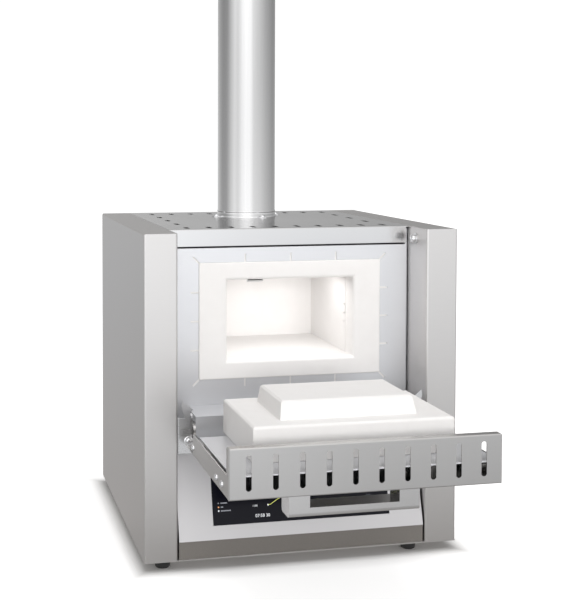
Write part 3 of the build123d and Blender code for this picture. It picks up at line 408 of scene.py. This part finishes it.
bright_steel = ground_sheet("bright_fastener_steel", (0.80, 0.80, 0.81), (400, 400, 400), 0.16, 0.03)
cap_screw = [
    (0.0, -0.004), (0.0017, -0.004), (0.0017, 0.0), (0.0034, 0.0), (0.0034, 0.0014),
    (0.0030, 0.0021), (0.0020, 0.0026), (0.0009, 0.0028), (0.0, 0.0028),
]
screw_seats = []
for turn in screw_turns:
    seat_x = screw_round * math.cos(math.radians(turn))
    seat_y = flue_y + screw_round * math.sin(math.radians(turn))
    screw_seats.append(((seat_x, seat_y, flue_low[2] + tab_thickness), (0, 0, 1)))
flue_screws = turned("flue_cap_screws", cap_screw, screw_seats, bright_steel)
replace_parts(flue_screws, "flue_screws")


# ---- Front sheet -----------------------------------------------------------------------
# Fine-ground sheet round the mouth with slits that let it expand, and the shelf under it.
# A narrow return is folded back at each side, where the sheet meets the posts.

front_steel = ground_sheet("fine_front_sheet", (0.70, 0.705, 0.725), (40, 40, 900), 0.34, 0.02, 0.55)
dress(front_steel, "front_sheet", "hinge_shelf")

return_start, return_end, return_sheet = 0.1494, 0.1527, 0.0008
return_front_y, return_back_y = -0.0142, -0.0042
return_profile = [
    (return_start, return_front_y), (return_end, return_front_y), (return_end, return_back_y),
    (return_end - return_sheet, return_back_y), (return_end - return_sheet, return_front_y + return_sheet),
    (return_start, return_front_y + return_sheet),
]
under_cover = 0.004
return_heights = (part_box("front_sheet")[0][2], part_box("top_cover")[1][2] - under_cover)
returns = bmesh.new()
for side in (-1, 1):
    low, high = (
        [returns.verts.new((side * x, y, height)) for x, y in return_profile] for height in return_heights
    )
    prism(returns, low, high)
bmesh.ops.recalc_face_normals(returns, faces=returns.faces)
placed("front_sheet_returns", returns, front_steel)


# ---- Fibre of the chamber --------------------------------------------------------------
# Vacuum-formed ceramic fibre, matt and slightly uneven, with soft edges. The collar is
# pressed in from the front, and the side plates carry the heating strips in their grooves.


def softened(name, source, width, material, body):
    """A copy of a piece with its edges rounded over."""
    made = bmesh.new()
    made.from_mesh(node[source].data)
    bmesh.ops.remove_doubles(made, verts=made.verts, dist=1e-6)
    bmesh.ops.dissolve_limit(made, angle_limit=math.radians(2), verts=made.verts, edges=made.edges)
    sharp = [edge for edge in made.edges if len(edge.link_faces) == 2 and edge.calc_face_angle(0) > 0.3]
    bmesh.ops.bevel(
        made, geom=sharp, offset=width, segments=4, profile=0.6, affect="EDGES", clamp_overlap=True
    )
    piece = placed(name, made, material, body)
    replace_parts(piece, source)
    shaded(piece, 50)


def felted(name, dark, light):
    """Matt ceramic fibre with short strands and shallow dimples."""
    felt = finish(name)
    strands = felt.noise((1, 1, 1), 1400, 4.0, 0.7)
    dimples = felt.noise((1, 1, 1), 70, 2.0)
    return felt.surface(
        Base_Color=felt.blend(strands * 0.5 + dimples * 0.5, dark, light),
        Roughness=0.95,
        Specular_IOR_Level=0.2,
        Normal=felt.relief(strands * 0.3 + dimples * 0.7, 0.0006, 0.35),
    )


white_felt = felted("white_fibre", (0.835, 0.815, 0.80), (0.905, 0.89, 0.878))
softened("fibre_collar_formed", "fibre_collar", 0.0016, white_felt, "furnace")
dress(white_felt, "heating_plate_left", "heating_plate_right", "floor_plate", "roof_plate", "thermocouple")
dress(white_felt, "insulation_bottom", "insulation_left", "insulation_right")
dress(white_felt, "insulation_front", "insulation_rear")

alloy = finish("heating_alloy")
alloy_tone = alloy.blend(alloy.noise((1, 1, 1), 200), (0.10, 0.09, 0.08), (0.2, 0.19, 0.18))
dress(alloy.surface(Base_Color=alloy_tone, Roughness=0.6, Metallic=0.7), "heating_elements")

inner_steel = ground_sheet("inner_steel", (0.62, 0.62, 0.62), (300, 300, 300), 0.4)
dress(inner_steel, "exhaust_duct", "inner_case", "case_supports")


# ---- Hinge -----------------------------------------------------------------------------
# Folded brackets on the posts carry the hinge pins. Each is held by one dome-headed screw
# on a washer, and a peg on its ear stops the door when it is level.

bracket_steel = ground_sheet("bracket_sheet", (0.74, 0.74, 0.745), (40, 40, 900), 0.28, 0.03)
dress(bracket_steel, "hinge_bracket_left", "hinge_bracket_right", "hinge_pins", "stop_pegs")
dome_screw = [
    (0.0, -0.006), (0.0016, -0.006), (0.0016, 0.0), (0.0054, 0.0), (0.0054, 0.0006), (0.0051, 0.0008),
    (0.0034, 0.0008), (0.0034, 0.0015), (0.0030, 0.0023), (0.0021, 0.0029), (0.0010, 0.0030), (0.0, 0.0030),
]
bracket_x, bracket_y, bracket_z = 0.1403, -0.07475, 0.151
bracket_seats = [((side * bracket_x, bracket_y, bracket_z), (0, -1, 0)) for side in (-1, 1)]
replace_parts(turned("bracket_dome_screws", dome_screw, bracket_seats, bright_steel), "bracket_screws")


# ---- Door catch ------------------------------------------------------------------------
# A turned plunger with a rounded nose slides in a flanged bush in the right-hand post.
# Both are bright steel, and a groove runs round the plunger behind its nose.

dress(bracket_steel, "catch_bush")
catch_low, catch_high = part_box("catch_plunger")
catch_y, catch_z = (catch_low[1] + catch_high[1]) / 2, (catch_low[2] + catch_high[2]) / 2
catch_length = catch_high[0] - catch_low[0]
catch_outline = [
    (0.0, 0.0), (0.0022, 0.0002), (0.0036, 0.0009), (0.0044, 0.0020), (0.0047, 0.0034), (0.0047, 0.0052),
    (0.0044, 0.0055), (0.0044, 0.0062), (0.0047, 0.0065), (0.0047, catch_length), (0.0, catch_length),
]
catch_place = ((catch_low[0], catch_y, catch_z), (1, 0, 0))
catch_nose = turned("catch_plunger_turned", catch_outline, [catch_place], bright_steel, "catch")
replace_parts(catch_nose, "catch_plunger")


# ---- Console ---------------------------------------------------------------------------
# The sloping console is satin sheet over a matt painted plinth. Its touch display is a
# black glass pane, lit from behind, with plain numbers, status dots and one curve.

console_sheet = ground_sheet("satin_console_sheet", (0.66, 0.65, 0.66), (30, 900, 900), 0.42, 0.02)
dress(console_sheet, "control_panel")

plinth_paint = finish("plinth_paint")
flecks = plinth_paint.noise((1, 1, 1), 600)
plinth_tone = plinth_paint.blend(flecks, (0.185, 0.172, 0.158), (0.215, 0.20, 0.185))
plinth_grain = plinth_paint.relief(flecks, 0.0001, 0.3)
dress(plinth_paint.surface(Base_Color=plinth_tone, Roughness=0.5, Normal=plinth_grain), "plinth")

glass = finish("display_cover")
glass_tone = glass.blend(glass.noise((1, 1, 1), 20), (0.004, 0.004, 0.008), (0.006, 0.006, 0.011))
dress(glass.surface(Base_Color=glass_tone, Roughness=0.10, Specular_IOR_Level=0.15), "display_pane")

slope = math.radians(15.9)
slope_up = Vector((0, math.sin(slope), math.cos(slope)))
slope_out = Vector((0, -math.cos(slope), math.sin(slope)))
slope_foot = Vector((0, -0.07395, 0.032))
glass_proud = 0.00043
on_glass = Matrix((Vector((1, 0, 0)), slope_up, slope_out)).transposed().to_4x4()
on_glass.translation = slope_foot + slope_out * glass_proud


def lit(name, colour, strength):
    """Light that shows through the glass."""
    glow = finish(name)
    grain = glow.noise((1, 1, 1), 2500)
    tint = glow.blend(grain, [part * 0.9 for part in colour], colour)
    return glow.surface(Base_Color=tint, Roughness=0.3, Emission_Color=tint, Emission_Strength=strength)


white_light = lit("display_white", (0.80, 0.82, 0.85), 0.55)
grey_light = lit("display_grey", (0.22, 0.23, 0.26), 0.4)
amber_light = lit("display_amber", (0.75, 0.34, 0.14), 0.5)
green_light = lit("display_curve", (0.62, 0.66, 0.16), 0.5)


digit_share = 0.7              # a digit's height in its type size


def digits(name, text, left, foot, height, material):
    """Numbers on the glass, with their lower left corner in millimetres on the slope."""
    letters = bpy.data.curves.new(name, "FONT")
    letters.body = text
    letters.size = height / digit_share / 1000
    letters.resolution_u = 4
    letters.extrude = 0.00002
    letters.materials.append(material)
    piece = bpy.data.objects.new(name, letters)
    bpy.context.collection.objects.link(piece)
    piece.matrix_world = on_glass @ Matrix.Translation((left / 1000, foot / 1000, 0))
    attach(piece, "furnace")


def patches(name, shapes, material):
    """Flat lit patches on the glass: each is a list of corners in millimetres on the slope."""
    made = bmesh.new()
    for corners in shapes:
        low, high = (
            [made.verts.new(on_glass @ Vector((x / 1000, y / 1000, z))) for x, y in corners]
            for z in (-0.00001, 0.00003)
        )
        prism(made, low, high)
    placed(name, made, material)


def dot(x, y, radius, sides=20):
    turns = [2 * math.pi * n / sides for n in range(sides)]
    return [(x + radius * math.cos(t), y + radius * math.sin(t)) for t in turns]


def bar(x, y, length, height=1.3):
    low, high = y - height / 2, y + height / 2
    return [(x, low), (x + length, low), (x + length, high), (x, high)]


digits("display_clock", "07:58 30", -58.0, 22.4, 3.6, white_light)
digits("display_reading", "1100", -61.0, 34.6, 2.2, white_light)
digits("display_setpoint", "0:45", 82.0, 34.2, 2.4, white_light)
digits("display_segment", "3 / 8", 82.0, 38.4, 1.8, grey_light)
patches("display_bars", [bar(-99.5, 41.0, 8.0), bar(-99.5, 36.5, 3.0), bar(-99.5, 32.2, 12.0)], grey_light)
patches("display_dot_dim", [dot(-102.1, 41.0, 0.8)], grey_light)
patches("display_dot_amber", [dot(-102.1, 36.5, 0.9)], amber_light)
patches("display_dot_white", [dot(-102.1, 32.3, 0.9)], white_light)
curve_points = [
    (-41.7, 35.7), (-38.6, 36.1), (-35.1, 38.3), (-30.5, 41.0), (-25.6, 43.3), (-14.0, 49.5), (0.0, 57.0),
    (14.0, 64.0), (30.0, 66.5), (60.0, 66.8), (84.0, 66.8),
]
curve_half_width = 0.35
strokes = []
for (x0, y0), (x1, y1) in zip(curve_points, curve_points[1:]):
    run = math.hypot(x1 - x0, y1 - y0)
    dx, dy = -(y1 - y0) / run * curve_half_width, (x1 - x0) / run * curve_half_width
    strokes.append([(x0 - dx, y0 - dy), (x1 - dx, y1 - dy), (x1 + dx, y1 + dy), (x0 + dx, y0 + dy)])
patches("display_curve", strokes, green_light)
patches("display_curve_start", [dot(-41.7, 35.7, 1.0)], white_light)


# ---- Feet ------------------------------------------------------------------------------
# Four moulded rubber feet, wider at the top, under the corners of the base plate. Each has
# a shallow hollow below for the screw that holds it.

rubber = finish("foot_rubber")
rubber_tone = rubber.blend(rubber.noise((1, 1, 1), 400), (0.014, 0.014, 0.014), (0.03, 0.03, 0.03))
foot_rubber = rubber.surface(Base_Color=rubber_tone, Roughness=0.6)
feet_low, feet_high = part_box("feet")
foot_radius = 0.0105
foot_outline = [
    (0.0, 0.0015), (0.0040, 0.0015), (0.0042, 0.0), (0.0080, 0.0), (0.0085, 0.0006), (0.0104, 0.0094),
    (0.0100, 0.0100), (0.0, 0.0100),
]
foot_places = [
    ((x, y, 0.0), (0, 0, 1))
    for x in (feet_low[0] + foot_radius, feet_high[0] - foot_radius)
    for y in (feet_low[1] + foot_radius, feet_high[1] - foot_radius)
]
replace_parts(turned("rubber_feet", foot_outline, foot_places, foot_rubber), "feet")


# ---- Rear fittings and inside ----------------------------------------------------------
# The mains inlet, switch and terminals are black mouldings snapped or screwed in. The
# rocker is glossier than its frame, and bright pan-head screws hold the rear panel.

moulding = finish("black_moulding")
matt = moulding.noise((1, 1, 1), 900)
moulded = moulding.surface(
    Base_Color=moulding.blend(matt, (0.012, 0.012, 0.012), (0.02, 0.02, 0.02)),
    Roughness=0.5,
    Normal=moulding.relief(matt, 0.0001, 0.3),
)
dress(moulded, "display_module", "power_relay", "terminal_block", "mains_inlet", "switch_frame")
rocker_paint = finish("rocker_gloss")
rocker_cloud = rocker_paint.noise((1, 1, 1), 60)
rocker_tone = rocker_paint.blend(rocker_cloud, (0.010, 0.010, 0.010), (0.016, 0.016, 0.016))
dress(rocker_paint.surface(Base_Color=rocker_tone, Roughness=0.25), "mains_rocker")

rear_head_height = 0.0022
rear_x, rear_y = 0.1835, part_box("rear_screws")[1][1] - rear_head_height
rear_head = [
    (0.0, -0.005), (0.0016, -0.005), (0.0016, 0.0), (0.0036, 0.0), (0.0036, 0.0008), (0.0031, 0.0016),
    (0.0020, 0.0021), (0.0010, rear_head_height), (0.0009, 0.0012), (0.0, 0.0012),
]
rear_places = [((side * rear_x, rear_y, z), (0, 1, 0)) for side in (-1, 1) for z in (0.040, 0.201, 0.362)]
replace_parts(turned("rear_pan_screws", rear_head, rear_places, bright_steel), "rear_screws")


# ---- Door: folded sheets and levers ----------------------------------------------------
# Outer sheet, slotted cap and inner pan are ground stainless, folded and riveted to two
# flat levers. It lies open and level, so its outer face looks down.

door_sheet = ground_sheet("ground_door_sheet", (0.57, 0.56, 0.55), (30, 900, 900), 0.30, 0.03)
dress(door_sheet, "door_panel", "door_cap", "door_lever_left", "door_lever_right")
dress(door_sheet, "lever_spacers", "handle_screws")
dress(front_steel, "door_pan")

rivet_low, rivet_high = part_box("door_rivets")
rivet_radius, rivet_span = 0.0036, 0.113     # head, and first to second row
rivet_outer_x, rivet_inner_x = 0.1449, 0.1312
rivet_outline = [
    (0.0, rivet_inner_x - rivet_outer_x), (0.0014, rivet_inner_x - rivet_outer_x), (0.0014, 0.0),
    (rivet_radius, 0.0), (rivet_radius, 0.0005), (0.0032, 0.0013), (0.0023, 0.0020), (0.0012, 0.0024),
    (0.0, 0.0024),
]
rivet_foot = [(0.0, 0.0), (0.0026, 0.0), (0.0026, 0.0009), (0.0020, 0.0012), (0.0, 0.0012)]
rivet_z = (rivet_low[2] + rivet_high[2]) / 2
first_row, last_row = rivet_high[1] - rivet_radius, rivet_low[1] + rivet_radius
rivet_rows = (first_row, first_row - rivet_span, last_row)
outside = [((side * rivet_outer_x, y, rivet_z), (side, 0, 0)) for side in (-1, 1) for y in rivet_rows]
inside = [((side * rivet_inner_x, y, rivet_z), (-side, 0, 0)) for side in (-1, 1) for y in rivet_rows]
heads = turned("door_rivet_heads", rivet_outline, outside, bright_steel, "door")
turned("door_rivet_feet", rivet_foot, inside, bright_steel, "door")
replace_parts(heads, "door_rivets")


# ---- Door: fibre -----------------------------------------------------------------------
# The slab that covers the collar and the bevelled plug that enters the mouth are the
# same vacuum-formed fibre, held from behind by the pan.

softened("door_block_formed", "door_block", 0.0022, white_felt, "door")
softened("door_plug_formed", "door_plug", 0.0035, white_felt, "door")


# ---- Handle ----------------------------------------------------------------------------
# A grip bent from one flat steel section, brushed along its length and screwed on from
# inside the door.

handle_steel = ground_sheet("brushed_handle_steel", (0.70, 0.69, 0.685), (30, 900, 900), 0.24, 0.03)
dress(handle_steel, "door_handle")
